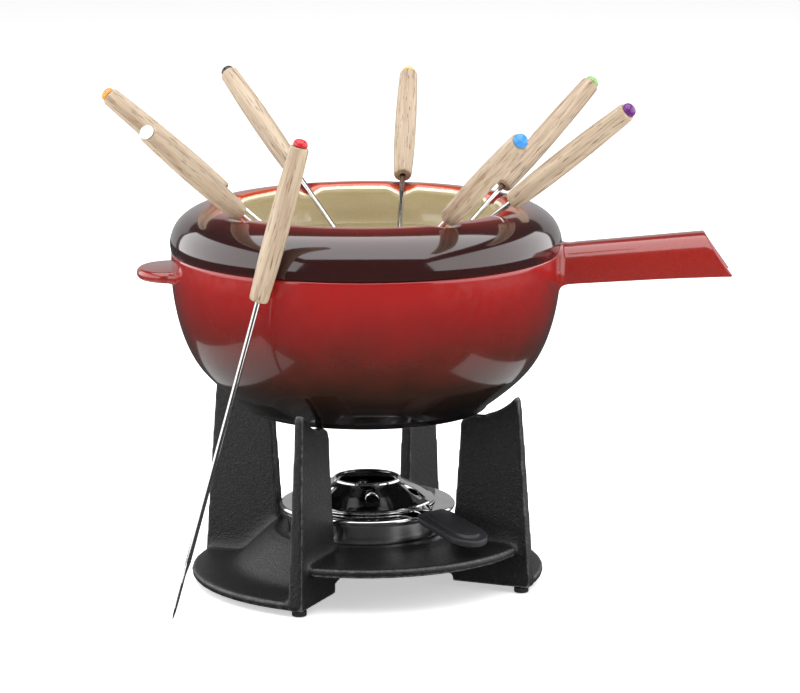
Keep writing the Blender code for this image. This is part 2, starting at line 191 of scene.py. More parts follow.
def loft(name, sections, sharp=SHARP_ANGLE):
    """Closed skin through equal closed sections, with end faces."""
    bm = bmesh.new()
    rings = [[bm.verts.new(p) for p in s] for s in sections]
    skin(bm, rings)
    bm.faces.new(rings[0])
    bm.faces.new(rings[-1][::-1])
    return finish_mesh(name, bm, sharp)


def join(target, *others):
    """The others' meshes become part of the target's."""
    bm = bmesh.new()
    for obj in (target, *others):
        bm.from_mesh(obj.data)
    bm.to_mesh(target.data)
    bm.free()
    for obj in others:
        bpy.data.objects.remove(obj, do_unlink=True)
    smooth(target)
    return target


def applied(obj):
    """Turns the object's modifiers into its mesh."""
    bpy.context.view_layer.update()
    graph = bpy.context.evaluated_depsgraph_get()
    mesh = bpy.data.meshes.new_from_object(obj.evaluated_get(graph))
    obj.modifiers.clear()
    obj.data = mesh
    return obj


def boolean(target, tools, operation):
    for tool in tools:
        m = target.modifiers.new("cut", "BOOLEAN")
        m.operation = operation
        m.object = tool
        applied(target)
        bpy.data.objects.remove(tool, do_unlink=True)
    return target


def mark(obj, name, values):
    """One value for each vertex, for the materials to read."""
    layer = obj.data.attributes.new(name, "FLOAT", "POINT")
    layer.data.foreach_set("value", np.asarray(values, np.float32))


def points_of(obj):
    out = np.empty(len(obj.data.vertices) * 3, np.float32)
    obj.data.vertices.foreach_get("co", out)
    return out.reshape(-1, 3).astype(float)


def move_points(obj, points):
    obj.data.vertices.foreach_set("co", points.astype(np.float32).ravel())
    obj.data.update()


def settle(obj, material, body, node):
    """Material, body and the CAD node that the piece stands for."""
    obj.data.materials.clear()
    obj.data.materials.append(material)
    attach(obj, body)
    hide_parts(node)


# ---------------------------------------------------------------- materials


NOISE_LOW, NOISE_HIGH = 0.3, 0.7


class Shader:
    """A Principled material under construction."""

    def __init__(self, name, **values):
        self.material = bpy.data.materials.new(name)
        self.material.use_nodes = True
        self.tree = self.material.node_tree
        self.bsdf = self.tree.nodes["Principled BSDF"]
        for key, value in values.items():
            self.set(self.bsdf, key.replace("_", " "), value)
        self.where = self.node("TexCoord").outputs["Object"]

    def set(self, node, key, value):
        names = [s.name for s in node.inputs]
        index = key if isinstance(key, int) else [n.lower() for n in names].index(key.lower())
        if isinstance(value, bpy.types.NodeSocket):
            self.tree.links.new(value, node.inputs[index])
        else:
            node.inputs[index].default_value = value

    def node(self, kind, inputs=None, **settings):
        made = self.tree.nodes.new("ShaderNode" + kind)
        for key, value in settings.items():
            setattr(made, key, value)
        for key, value in (inputs or {}).items():
            self.set(made, key, value)
        return made

    def noise(self, scale, detail=3.0, roughness=0.5, where=None):
        made = self.node(
            "TexNoise",
            {
                "Vector": where or self.where,
                "Scale": scale,
                "Detail": detail,
                "Roughness": roughness,
            },
        )
        return made.outputs["Fac"]

    def stretched(self, x, y, z, shift=None):
        """The coordinates scaled along each axis, and shifted by a socket."""
        where = self.where
        if shift is not None:
            where = self.node("VectorMath", {0: where, 1: shift}).outputs[0]
        made = self.node("VectorMath", {0: where, 1: (x, y, z)}, operation="MULTIPLY")
        return made.outputs[0]

    def math(self, operation, a, b=0.0):
        return self.node("Math", {0: a, 1: b}, operation=operation).outputs[0]

    def remap(self, value, low, high, to_low, to_high):
        made = self.node("MapRange", {0: value, 1: low, 2: high, 3: to_low, 4: to_high})
        return made.outputs[0]

    def spread(self, noise, to_low, to_high):
        """The range that a noise mostly keeps to, mapped to another."""
        return self.remap(noise, NOISE_LOW, NOISE_HIGH, to_low, to_high)

    def ramp(self, value, *stops):
        """stops: (place, colour)."""
        made = self.node("ValToRGB", {"Fac": value})
        elements = made.color_ramp.elements
        for i, (at, colour) in enumerate(stops):
            e = elements[i] if i < 2 else elements.new(at)
            e.position = at
            e.color = (*colour, 1.0)
        return made.outputs["Color"]

    def mix(self, factor, a, b):
        made = self.node("Mix", data_type="RGBA")
        self.set(made, 0, factor)
        self.set(made, 6, a if isinstance(a, bpy.types.NodeSocket) else (*a, 1.0))
        self.set(made, 7, b if isinstance(b, bpy.types.NodeSocket) else (*b, 1.0))
        return made.outputs[2]

    def attribute(self, name):
        return self.node("Attribute", attribute_name=name).outputs["Fac"]

    def bump(self, height, strength, distance_mm):
        made = self.node(
            "Bump",
            {"Height": height, "Strength": strength, "Distance": distance_mm * MM},
        )
        self.set(self.bsdf, "Normal", made.outputs[0])

    def done(self, colour=None, roughness=None):
        if colour is not None:
            self.set(self.bsdf, "Base Color", colour)
        if roughness is not None:
            self.set(self.bsdf, "Roughness", roughness)
        return self.material


FADE_LOW, FADE_HIGH = 0.100, 0.190


def cream_glaze(s):
    """Off-white glaze with a faint mottle."""
    return s.ramp(s.noise(900, 2), (0.35, (0.80, 0.72, 0.53)), (0.6, (0.84, 0.77, 0.58)))


def enamel_pot():
    """Red glaze sprayed over black, fading to black below, cream inside."""
    s = Shader("pot_enamel", coat_weight=1.0, coat_roughness=0.04)
    height = s.node("SeparateXYZ", {0: s.where}).outputs["Z"]
    grain = s.noise(1500, 2)
    cloud = s.noise(45, 2)
    level = s.remap(height, FADE_LOW, FADE_HIGH, 0.0, 1.0)
    level = s.math("ADD", level, s.spread(grain, -0.045, 0.045))
    level = s.math("ADD", level, s.spread(cloud, -0.03, 0.03))
    red = s.ramp(
        level,
        (0.05, (0.003, 0.002, 0.002)),
        (0.17, (0.006, 0.003, 0.002)),
        (0.32, (0.024, 0.007, 0.003)),
        (0.50, (0.075, 0.010, 0.006)),
        (0.72, (0.17, 0.007, 0.006)),
        (0.95, (0.27, 0.008, 0.007)),
    )
    cream = cream_glaze(s)
    inside = s.ramp(s.attribute("inside"), (0.45, (0, 0, 0)), (0.55, (1, 1, 1)))
    roughness = s.spread(s.noise(240, 3), 0.13, 0.24)
    s.bump(s.noise(130, 2), 0.03, 0.5)
    return s.done(s.mix(inside, red, cream), roughness)


def enamel_red():
    """The same glaze at full strength, on the handle and the lug."""
    s = Shader("handle_enamel", coat_weight=1.0, coat_roughness=0.05)
    grain = s.noise(1500, 2)
    red = s.ramp(grain, (0.30, (0.20, 0.011, 0.008)), (0.62, (0.27, 0.016, 0.011)))
    s.bump(s.noise(130, 2), 0.03, 0.5)
    return s.done(red, s.spread(s.noise(240, 3), 0.15, 0.26))


def enamel_ring():
    """Deep maroon, thinning to orange-red where the glaze runs off the crest."""
    s = Shader("ring_enamel", coat_weight=1.0, coat_roughness=0.03)
    grain = s.spread(s.noise(1300, 2), -0.05, 0.05)
    thin = s.math("ADD", s.attribute("thin"), grain)
    maroon = s.ramp(
        thin,
        (0.00, (0.022, 0.005, 0.005)),
        (0.40, (0.075, 0.009, 0.007)),
        (0.62, (0.16, 0.013, 0.009)),
        (0.82, (0.24, 0.020, 0.010)),
        (0.97, (0.45, 0.050, 0.015)),
    )
    wander = s.spread(s.noise(700, 2), -0.06, 0.06)
    edge = s.math("ADD", s.attribute("inside"), wander)
    cream = cream_glaze(s)
    inside = s.ramp(edge, (0.36, (0, 0, 0)), (0.64, (1, 1, 1)))
    s.bump(s.noise(110, 2), 0.035, 0.5)
    return s.done(s.mix(inside, maroon, cream), s.remap(grain, -0.05, 0.05, 0.09, 0.16))


def cast_iron():
    """Black casting with a fine skin, rubbed bright along its edges; the light edges are wear and a
    painted highlight together.
    """
    s = Shader("stand_iron", specular_ior_level=0.75)
    fine = s.noise(1100, 3, 0.6)
    coarse = s.noise(480, 2)
    black = s.ramp(
        fine,
        (0.42, (0.002, 0.002, 0.0025)),
        (0.58, (0.005, 0.005, 0.0055)),
        (0.74, (0.032, 0.032, 0.034)),
    )
    # painted highlight and wear: the edge mask lightens the iron towards grey along its edges
    rub_and_highlight = s.math("MULTIPLY", s.attribute("edge"), s.remap(coarse, 0.35, 0.6, 0.25, 1.0))
    s.bump(s.math("ADD", fine, s.math("MULTIPLY", coarse, 0.6)), 0.75, 0.45)
    colour = s.mix(rub_and_highlight, black, (0.42, 0.42, 0.43))
    return s.done(colour, s.remap(fine, 0.35, 0.7, 0.50, 0.34))


def wood():
    """Varnished light hardwood: long grain with short dark pores."""
    s = Shader("handle_wood", coat_weight=0.15, coat_roughness=0.3)
    seed = s.attribute("seed")
    shift = s.node("CombineXYZ", {0: seed, 1: seed, 2: seed}).outputs[0]
    bands = s.noise(1.0, 3, 0.55, s.stretched(210, 210, 9, shift))
    fibres = s.noise(1.0, 3, 0.6, s.stretched(900, 900, 30, shift))
    pores = s.noise(1.0, 2, 0.5, s.stretched(1250, 1250, 85, shift))
    base = s.ramp(
        bands,
        (0.30, (0.24, 0.15, 0.085)),
        (0.47, (0.345, 0.25, 0.16)),
        (0.66, (0.46, 0.36, 0.25)),
    )
    base = s.mix(s.remap(fibres, 0.35, 0.65, 0.0, 0.55), base, (0.54, 0.44, 0.33))
    dark = s.remap(pores, 0.60, 0.67, 0.0, 0.8)
    base = s.mix(dark, base, (0.12, 0.058, 0.022))
    s.bump(s.math("SUBTRACT", fibres, dark), 0.35, 0.25)
    return s.done(base, s.spread(fibres, 0.36, 0.5))


def steel():
    """Polished round wire, drawn lengthways."""
    s = Shader("fork_steel", metallic=1.0)
    drawn = s.noise(1.0, 2, 0.5, s.stretched(3000, 3000, 60))
    colour = s.ramp(drawn, (0.3, (0.62, 0.61, 0.60)), (0.7, (0.80, 0.79, 0.78)))
    s.bump(drawn, 0.12, 0.05)
    return s.done(colour, s.spread(drawn, 0.10, 0.20))


def chrome():
    s = Shader("burner_chrome", metallic=1.0)
    haze = s.noise(90, 3)
    colour = s.ramp(haze, (0.3, (0.66, 0.66, 0.67)), (0.7, (0.78, 0.78, 0.79)))
    s.bump(s.noise(260, 2), 0.05, 0.1)
    return s.done(colour, s.spread(haze, 0.05, 0.11))


def cap_plastic(name, colour):
    s = Shader("cap_" + name, coat_weight=0.3, coat_roughness=0.15)
    tone = s.noise(420, 2)
    dim = tuple(0.86 * c for c in colour)
    s.bump(tone, 0.06, 0.1)
    return s.done(s.ramp(tone, (0.3, dim), (0.7, colour)), s.spread(tone, 0.22, 0.34))


def black_plastic():
    """Moulded, with a fine spark texture."""
    s = Shader("grip_plastic", specular_ior_level=0.5)
    fine = s.noise(1900, 2)
    s.bump(fine, 0.30, 0.12)
    colour = s.ramp(fine, (0.35, (0.010, 0.010, 0.012)), (0.7, (0.026, 0.026, 0.029)))
    return s.done(colour, s.spread(fine, 0.38, 0.52))


def rubber():
    s = Shader("foot_rubber", specular_ior_level=0.3)
    fine = s.noise(1600, 2)
    s.bump(fine, 0.3, 0.1)
    colour = s.ramp(fine, (0.3, (0.010, 0.010, 0.010)), (0.7, (0.022, 0.022, 0.022)))
    return s.done(colour, s.spread(fine, 0.7, 0.85))


GAUZE_PITCH = 0.9


def gauze():
    """Woven wire, its waves GAUZE_PITCH apart, with painted shade near black in the openings between the
    wires.
    """
    s = Shader("gauze_steel", metallic=0.9)
    parts = s.node("SeparateXYZ", {0: s.where})
    per_metre = 2 * math.pi / (GAUZE_PITCH * MM)
    waves = []
    for axis in ("X", "Y"):
        angle = s.math("MULTIPLY", parts.outputs[axis], per_metre)
        waves.append(s.math("ABSOLUTE", s.math("SINE", angle)))
    wire = s.math("MAXIMUM", waves[0], waves[1])
    s.bump(wire, 0.9, 0.3)
    # painted shade: near black between the wires, steel grey on them
    wire_and_gap_shade = s.ramp(wire, (0.55, (0.02, 0.02, 0.02)), (0.85, (0.34, 0.33, 0.32)))
    return s.done(wire_and_gap_shade, s.spread(s.noise(300, 2), 0.35, 0.55))


def wadding():
    s = Shader("fuel_wadding", sheen_weight=0.2)
    fluff = s.noise(700, 4, 0.65)
    s.bump(fluff, 0.8, 0.6)
    colour = s.ramp(fluff, (0.3, (0.45, 0.43, 0.38)), (0.7, (0.76, 0.74, 0.69)))
    return s.done(colour, s.spread(fluff, 0.85, 0.98))


MATERIALS = {
    "pot": enamel_pot(),
    "red": enamel_red(),
    "ring": enamel_ring(),
    "iron": cast_iron(),
    "wood": wood(),
    "steel": steel(),
    "chrome": chrome(),
    "plastic": black_plastic(),
    "rubber": rubber(),
    "gauze": gauze(),
    "wadding": wadding(),
}


# ---------------------------------------------------------------- pot

RIM_Z = 192.3
WALL_R = 111.0


def pot_bowl():
    outer = [(0, 102.4), (60.4, 102.4, 0.6), (61.6, 101.5, 0.5), (68.8, 101.5, 1.6)]
    belly = [(70.8, 104.4), (84, 114.7), (95.8, 126.9), (104, 142.6), (109, 161.2)]
    outer += spline(belly + [(WALL_R, 181), (110.9, 189.2)], 54)
    outer += [(110.9, RIM_Z, 1.6)]
    inner = [(105.9, RIM_Z, 1.2)]
    hollow = [(105.9, 190.2), (106, 178), (103.2, 156), (94.2, 133.4), (79.2, 116.9)]
    inner += spline(hollow + [(68, 108.5), (58, 106.2)], 50)
    inner += [(30, 105.95), (0, 105.9)]
    outline = rounded(outer + inner)
    # the cream starts half-way round the rim's inner corner
    change = len(rounded(outer + inner[:1])) - 4
    inside = [float(k > change) for k in range(len(outline))]
    return place(lathe("pot_bowl", outline, 160, {"inside": inside}))


def wall_x(y, z):
    """Where the bowl's outside is at that width and height, near the rim."""
    r = WALL_R - 0.0042 * max(0.0, 181.0 - z) ** 2
    return math.sqrt(max(0.0, r * r - y * y))


def arch_section(top, low, half, wall, grow, steps=16):
    """(y, z) of an inverted U: over the outside, back along the inside."""

    def shell(crest, width, base):
        pts = []
        for i in range(steps + 1):
            a = math.pi * (1 - i / steps)
            c, s = math.cos(a), math.sin(a)
            y = width * math.copysign(abs(c) ** 0.62, c)
            pts.append((y, base + (crest - base) * abs(s) ** 0.72))
        return pts

    outside = shell(top + grow, half + grow, low - grow)
    inset = wall + min(grow, 0)
    inside = shell(top - inset, half - inset, low - grow)[::-1]
    flat = outside + inside
    corner = {0, steps, steps + 1, 2 * steps + 1}
    marked = [(y, z, 1.1 if i in corner else 0) for i, (y, z) in enumerate(flat)]
    return rounded(marked, 3)


def long_handle():
    """Inverted U running out of a flared root in the bowl's wall."""
    root = ((-1.2, 3.6), (0.1, 3.4), (0.35, 2.3), (0.9, 1.4), (1.9, 0.7), (3.4, 0.25), (5.5, 0.0))
    length, slant = 83.4, 15.0
    stations = [(offset, grow, True) for offset, grow in root]
    for u in (0.14, 0.28, 0.42, 0.56, 0.70, 0.82, 0.91, 0.97, 1.0):
        stations.append((u * length, 0.0, False))
    stations += [(length + 0.5, -0.3, False), (length + 0.75, -0.8, False)]
    sections = []
    for offset, grow, at_wall in stations:
        u = max(0.0, offset) / length
        top, low, half = 194.6 + 7.0 * u, 173.2 + 4.6 * u, 14.0 + 1.6 * u
        lean = slant * max(0.0, (u - 0.70) / 0.30) ** 1.4
        points = []
        for y, z in arch_section(top, low, half, 3.8, grow):
            x = wall_x(y, z) + offset if at_wall else 108.6 + offset
            drop = min(1.0, max(0.0, (top - z) / (top - low)))
            points.append((x + lean * drop**1.15, y, z))
        sections.append(points)
    return place(loft("pot_long_handle", sections, 50))


def lug():
    """Rounded tab opposite the long handle, a little thicker at the wall."""
    middle, half_thick, root = 179.2, 3.0, -106.5
    outline = [(root, 25.5), (-109.5, 24.6), (-111.0, 24.0)]
    for i in range(41):
        a = math.pi * (0.5 + i / 40)
        outline.append((-112.0 + 18.9 * math.cos(a), 23.5 * math.sin(a)))
    outline += [(x, -y) for x, y in outline[2::-1]]
    sections = []
    for k in range(13):
        tilt = math.pi * (k / 12 - 0.5)
        inset = 2.6 * (1 - math.cos(tilt))
        points = []
        for x, y in outline:
            reach = math.hypot(x - root, y)
            share = max(0.0, reach - inset) / reach if reach > 1 else 1.0
            px, py = root + (x - root) * share, y * share
            off = max(0.0, math.hypot(px, py) - WALL_R)
            swell = 1 + 0.3 * math.exp(-off / 1.8)
            points.append((px, py, middle + half_thick * math.sin(tilt) * swell))
        sections.append(points)
    return place(loft("pot_lug", sections, 60))


settle(pot_bowl(), MATERIALS["pot"], "pot", "pot")
settle(long_handle(), MATERIALS["red"], "pot", "long_handle")
settle(lug(), MATERIALS["red"], "pot", "lug")


# ---------------------------------------------------------------- forks' lines

JOINTS = {j["name"]: j for j in frame["joints"]}
RING_FORKS = ("white", "orange", "black", "yellow", "green", "purple", "blue")
FORK_NAMES = RING_FORKS + ("red",)
HANDLE_L = 88.0
SHAFT_R = 1.5


def fork_line(name):
    """Lower end of the fork's handle, and the way it points."""
    along = Vector(JOINTS[f"fork_{name}_pull"]["axis"]).normalized()
    points = points_of(frame["nodes"][f"fork_{name}_handle"])
    middle = Vector(points.mean(axis=0))
    low = float((points @ np.array(along)).min())
    return middle + along * (low - middle.dot(along)), along


# ---------------------------------------------------------------- ring


DIP_OUTER_R, DIP_BLEND = 93.0, 13.0
DIP_HALF_WIDTH, DIP_DEPTH = 10.0, 3.5


def ring_dips(points):
    """The lip bent down by DIP_DEPTH under each fork's shaft."""
    flat = points[:, :2]
    radius = np.linalg.norm(flat, axis=1)
    near = np.clip((DIP_OUTER_R - radius) / DIP_BLEND, 0, 1)
    near = near * near * (3 - 2 * near)
    drop = np.zeros(len(points))
    for name in RING_FORKS:
        at, along = fork_line(name)
        at = (at - AXIS) / MM
        heading = np.array([along.x, along.y]) / math.hypot(along.x, along.y)
        side = np.array([-heading[1], heading[0]])
        off = np.abs((flat - np.array([at.x, at.y])) @ side) / DIP_HALF_WIDTH
        dip = np.where(off < 1, np.cos(off * math.pi / 2) ** 2, 0.0)
        dip[flat @ heading < 0] = 0.0
        drop = np.maximum(drop, dip)
    points[:, 2] -= DIP_DEPTH * drop * near
    return points


def splash_ring():
    lip = (76.95, 214.8)
    dome = [(111.1, 193.4), (111.5, 197), (110.6, 202), (108.1, 207.3), (104.4, 211.2)]
    dome += [(99, 214.6), (92.4, 216.9), (84, 218.0), (79, 217.0), lip]
    under = [lip, (78.8, 212.7), (84, 213.2), (91, 212.6), (97.6, 210)]
    under += [(103.0, 204.2), (103.7, 198), (102.6, 192)]
    outer = [(111.0, 192.6, 0.3)] + spline(dome, 56)
    inner = spline(under, 32)[1:]
    inner += [(102.4, 189.9, 0.8), (105.0, 189.8, 0.5), (105.3, 192.6)]
    outline = rounded(outer + inner)
    count_outer = len(rounded(outer, closed=False))
    thin, inside = [], []
    for k, (r, z) in enumerate(outline):
        crest = 1 - min(1.0, max(0.0, (r - 80.0) / 24.0))
        thin.append(crest if k < count_outer or r < 80 else 0.6)
        inside.append(min(1.0, max(0.0, (k - count_outer) / 4)))
    ring = lathe("ring_shell", outline, 256, {"thin": thin, "inside": inside})
    move_points(ring, ring_dips(points_of(ring)))
    return place(ring)


settle(splash_ring(), MATERIALS["ring"], "splash_ring", "splash_ring")


# ---------------------------------------------------------------- forks


def handle_mesh():
    """Turned barrel with its two bores, lower end at z = 0."""
    barrel = spline([(5.35, 1.9), (5.95, 16), (6.3, 38), (6.1, 60), (5.3, 86.4)], 30)
    bore_r, bore_top, socket_r, socket_low = 1.85, 40, 2.35, 80.8
    outline = [(0, bore_top), (bore_r, bore_top), (bore_r, 0, 0.3), (4.9, 0, 1.5)] + barrel
    outline += [(5.0, HANDLE_L, 1.1), (socket_r, HANDLE_L, 0.3)]
    outline += [(socket_r, socket_low), (0, socket_low)]
    return lathe("barrel", rounded(outline), 40)


def cap_mesh():
    stem_r, stem_low, seat = 2.05, 81.4, HANDLE_L + 0.3
    dome = [(4.1, HANDLE_L + 1.2), (3.6, HANDLE_L + 2.8), (2.1, HANDLE_L + 3.95)]
    dome = spline(dome + [(0, HANDLE_L + 4.3)], 12)
    outline = [(0, stem_low), (stem_r, stem_low, 0.5), (stem_r, seat, 0.2), (4.0, seat, 0.5)]
    return lathe("bead", rounded(outline + dome), 32)


def ellipse(z, wide, thick, count=20, x=0.0):
    out = []
    for i in range(count):
        a = 2 * math.pi * i / count
        out.append((x + wide * math.cos(a), thick * math.sin(a), z))
    return out


def shaft_mesh():
    """Round wire, flattened into a neck and two pointed tines."""
    tip = -186.5
    rod = [(38, 0.9, 0.9), (37.4, SHAFT_R, SHAFT_R), (tip + 34, SHAFT_R, SHAFT_R)]
    rod += [(tip + 31, 1.7, 1.2), (tip + 28, 2.3, 0.85), (tip + 25, 2.9, 0.68)]
    rod += [(tip + 22, 3.0, 0.65), (tip + 20.6, 2.8, 0.6), (tip + 20, 2.4, 0.4)]
    neck = loft("neck", [ellipse(z, w, t) for z, w, t in rod], 60)
    tines = []
    for side in (-1, 1):
        path = [(tip + 22, 2.1, 0.9, 0.6), (tip + 14, 2.15, 0.85, 0.6)]
        path += [(tip + 7.2, 2.15, 0.83, 0.6), (tip + 6.8, 2.45, 0.55, 0.55)]
        path += [(tip + 6.2, 2.2, 0.80, 0.55)]
        path += [(tip + 3, 2.0, 0.55, 0.45), (tip + 0.6, 1.7, 0.22, 0.2), (tip, 1.6, 0.05, 0.05)]
        sections = [ellipse(z, w, t, 12, side * x) for z, x, w, t in path]
        tines.append(loft("tine", sections, 60))
    return boolean(neck, tines, "UNION")


def level_frame(at, along):
    """Local Z along the fork, local X level, in metres."""
    x = Vector((0, 0, 1)).cross(along).normalized()
    turn = Matrix((x, along.cross(x), along)).transposed().to_4x4()
    return Matrix.Translation(at) @ turn


CAP_COLOURS = {
    "white": (0.80, 0.80, 0.78),
    "orange": (0.75, 0.30, 0.05),
    "black": (0.012, 0.012, 0.014),
    "yellow": (0.74, 0.52, 0.10),
    "green": (0.24, 0.47, 0.15),
    "purple": (0.12, 0.012, 0.17),
    "blue": (0.035, 0.25, 0.62),
    "red": (0.55, 0.012, 0.022),
}


# each handle shows another side and another stretch of the grain
GRAIN_TURN = 2.4
GRAIN_SHIFT = 0.37


def forks():
    models = {"shaft": shaft_mesh(), "handle": handle_mesh(), "cap": cap_mesh()}
    for k, name in enumerate(FORK_NAMES):
        matrix = level_frame(*fork_line(name))
        cap = cap_plastic(name, CAP_COLOURS[name])
        finishes = {
            "shaft": (MATERIALS["steel"], "fork_steel"),
            "handle": (MATERIALS["wood"], "handle_wood"),
            "cap": (cap, "cap_" + name),
        }
        for part, (material, slot) in finishes.items():
            obj = models[part].copy()
            obj.data = models[part].data.copy()
            obj.name = f"{name}_fork_{part}"
            obj.data.name = obj.name
            bpy.context.scene.collection.objects.link(obj)
            spin = Matrix.Rotation(GRAIN_TURN * k if part == "handle" else 0.0, 4, "Z")
            obj.data.transform(Matrix.Scale(MM, 4))
            obj.matrix_world = matrix @ spin
            mark(obj, "seed", [GRAIN_SHIFT * (k + 1)] * len(obj.data.vertices))
            settle(obj, material, "fork_" + name, f"fork_{name}_{part}")
            smooth(obj, 50)
    for obj in models.values():
        bpy.data.objects.remove(obj, do_unlink=True)


forks()


# ---------------------------------------------------------------- stand


def neighbour_mean(points, a, b, degree):
    total = np.empty_like(points)
    for k in range(3):
        total[:, k] = np.bincount(a, points[b, k], len(points))
        total[:, k] += np.bincount(b, points[a, k], len(points))
    return total / degree[:, None]


def vertex_normals(obj):
    out = np.empty(len(obj.data.vertices) * 3, np.float32)
    obj.data.vertex_normals.foreach_get("vector", out)
    return out.reshape(-1, 3).astype(float)


def soften(obj, all_rounds, fill_rounds):
    """Smooths everywhere for a few rounds, then only fills the hollow corners,
    as a casting's fillets do. Returns how sharply each point stands out."""
    ends = np.empty(len(obj.data.edges) * 2, np.int32)
    obj.data.edges.foreach_get("vertices", ends)
    a, b = ends[::2], ends[1::2]
    degree = np.maximum(1, np.bincount(ends, minlength=len(obj.data.vertices)))
    points = points_of(obj)
    for _ in range(all_rounds):
        points += 0.6 * (neighbour_mean(points, a, b, degree) - points)
    move_points(obj, points)
    normals = vertex_normals(obj)
    for k in range(fill_rounds):
        push = neighbour_mean(points, a, b, degree) - points
        out = (push * normals).sum(1)
        points += 0.9 * np.maximum(out, 0)[:, None] * normals
        if k % 10 == 9:
            move_points(obj, points)
            normals = vertex_normals(obj)
    move_points(obj, points)
    stand_out = -((neighbour_mean(points, a, b, degree) - points) * vertex_normals(obj)).sum(1)
    for _ in range(2):
        spread = np.bincount(a, stand_out[b], len(points)) + np.bincount(b, stand_out[a], len(points))
        stand_out = 0.5 * stand_out + 0.5 * spread / degree
    return stand_out


VOXEL = 0.85 * MM
ALL_ROUNDS = 7
FILL_ROUNDS = 60
EDGE_HEIGHT = 0.10 * VOXEL


def stand():
    """The CAD casting as an even mesh drawn back onto it, with its corners
    filled and its edges rounded."""
    source = frame["nodes"]["stand"]
    obj = bpy.data.objects.new("stand_casting", source.data.copy())
    bpy.context.scene.collection.objects.link(obj)
    m = obj.modifiers.new("skin", "REMESH")
    m.mode = "VOXEL"
    m.voxel_size = VOXEL
    applied(obj)
    hug = obj.modifiers.new("hug", "SHRINKWRAP")
    hug.wrap_method = "NEAREST_SURFACEPOINT"
    hug.target = source
    applied(obj)
    stand_out = soften(obj, ALL_ROUNDS, FILL_ROUNDS)
    # edge mask for the iron's wear and painted highlight along its edges
    mark(obj, "edge", np.clip(stand_out / EDGE_HEIGHT - 0.5, 0, 1))
    obj.data.shade_smooth()
    return obj


settle(stand(), MATERIALS["iron"], "stand", "stand")


def foot(node):
    """Nub under a leg, its lower edge rounded."""
    low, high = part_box(node)
    r, h = (high.x - low.x) / 2 / MM, (high.z - low.z) / MM
    outline = rounded([(0, 0), (r, 0, 0.9), (r, h, 0.2), (0, h)])
    middle = (low + high) / 2
    obj = lathe(node.replace("foot", "rubber_foot"), outline, 36)
    return place(obj, Vector((middle.x, middle.y, low.z)))


for corner in ("front_left", "front_right", "back_right", "back_left"):
    node = "foot_" + corner
    settle(foot(node), MATERIALS["rubber"], "stand", node)


# ---------------------------------------------------------------- burner

LATHE_N = 144


def around(azimuth):
    """Unit vector of an azimuth in degrees from -Y towards +X."""
    a = math.radians(azimuth)
    return Vector((math.sin(a), -math.cos(a), 0.0))


def cup():
    path = [(0, 29.5), (45.5, 29.5, 1.6), (45.5, 40.7, 0.8), (48.6, 40.95)]
    outline = sheet(rounded(path, closed=False), 0.8)
    outline[0], outline[-1] = (0.0, outline[0][1]), (0.0, outline[-1][1])
    return place(lathe("cup_shell", outline, LATHE_N))


def disc(name, r, low, high, crown):
    top = spline([(r, high - 0.8), (r - 1.0, high - 0.15), (r * 0.6, high), (0, high + crown)], 14)
    return place(lathe(name, rounded([(0, low), (r, low, 0.5)] + top), 96))


def vent_cutters():
    """Six round holes through the cone of the cover and the hood."""
    out = []
    for k in range(6):
        d = around(6.0 + 60.0 * k)
        tilt = Vector((d.x * 0.45, d.y * 0.45, 0.89)).normalized()
        cutter = lathe("vent", [(0, -6), (3.7, -6), (3.7, 8), (0, 8)], 40)
        cutter.data.transform(level_frame(d * 29.2 + Vector((0, 0, 52.4)), tilt))
        out.append(cutter)
    return out


def cover():
    path = [(48.4, 42.1), (49.9, 41.9, 0.8), (50.35, 43.3, 1.0), (49.4, 44.5, 0.9)]
    path += [(40, 44.8), (34.4, 44.9, 0.7), (33.6, 46.3, 0.6), (28.8, 50.0, 3.0)]
    path += [(20.8, 54.3, 2.0), (17.3, 55.7, 0.9), (16.6, 57.4)]
    dish = lathe("cover_shell", sheet(rounded(path, closed=False), 0.7), LATHE_N)
    boolean(dish, vent_cutters(), "DIFFERENCE")
    skirt = lathe("skirt", sheet([(44.0, 44.5), (44.0, 41.0), (44.0, 37.4)], 0.7), LATHE_N)
    return place(join(dish, skirt))


def hood():
    path = [(38.4, 46.7), (37.8, 47.4, 0.5), (35.4, 48.6, 2.0), (29.2, 52.6, 6.0), (21.4, 56.5, 2.0)]
    path += [(19.5, 57.6, 0.8), (19.0, 58.9, 0.5), (18.2, 58.7)]
    shell = lathe("hood_shell", sheet(rounded(path, closed=False), 0.8), LATHE_N)
    boolean(shell, vent_cutters(), "DIFFERENCE")
    return place(shell)


LEVER_AZ = 43.0
GRIP_SLOPE = 0.238


def lever():
    """Flat ring under the hood with a strip that runs out into the grip, and a
    folded ear beside it."""
    d, t = around(LEVER_AZ), around(LEVER_AZ + 90)
    outline = [(35.8, 45.7, 0.1), (39.6, 45.7, 0.2), (39.6, 46.3, 0.2), (35.8, 46.3, 0.1)]
    ring = lathe("lever_strip", rounded(outline), LATHE_N)

    def strip(name, path, thick, shift=0.0):
        sections = []
        for r, z, w in path:
            corners = [(-w, -thick, 0.2), (w, -thick, 0.2), (w, thick, 0.2), (-w, thick, 0.2)]
            middle = d * r + t * shift + Vector((0, 0, z))
            sections.append([middle + t * y + Vector((0, 0, dz)) for y, dz in rounded(corners, 2)])
        return loft(name, sections)

    # (distance from the axis, height, half width)
    stem = [(37.0, 46.0, 11.0), (41.0, 46.0, 8.5), (44.0, 47.0, 6.2), (48.0, 47.2, 5.5)]
    stem = spline(stem + [(54.0, 45.7, 5.0), (66.0, 42.87, 5.0)], 22)
    ear = spline([(43.0, 47.0, 0.8), (45.4, 49.2, 1.5), (49.8, 47.5, 1.2)], 12)
    return place(join(ring, strip("stem", stem, 0.35), strip("ear", ear, 0.5, 3.4)))


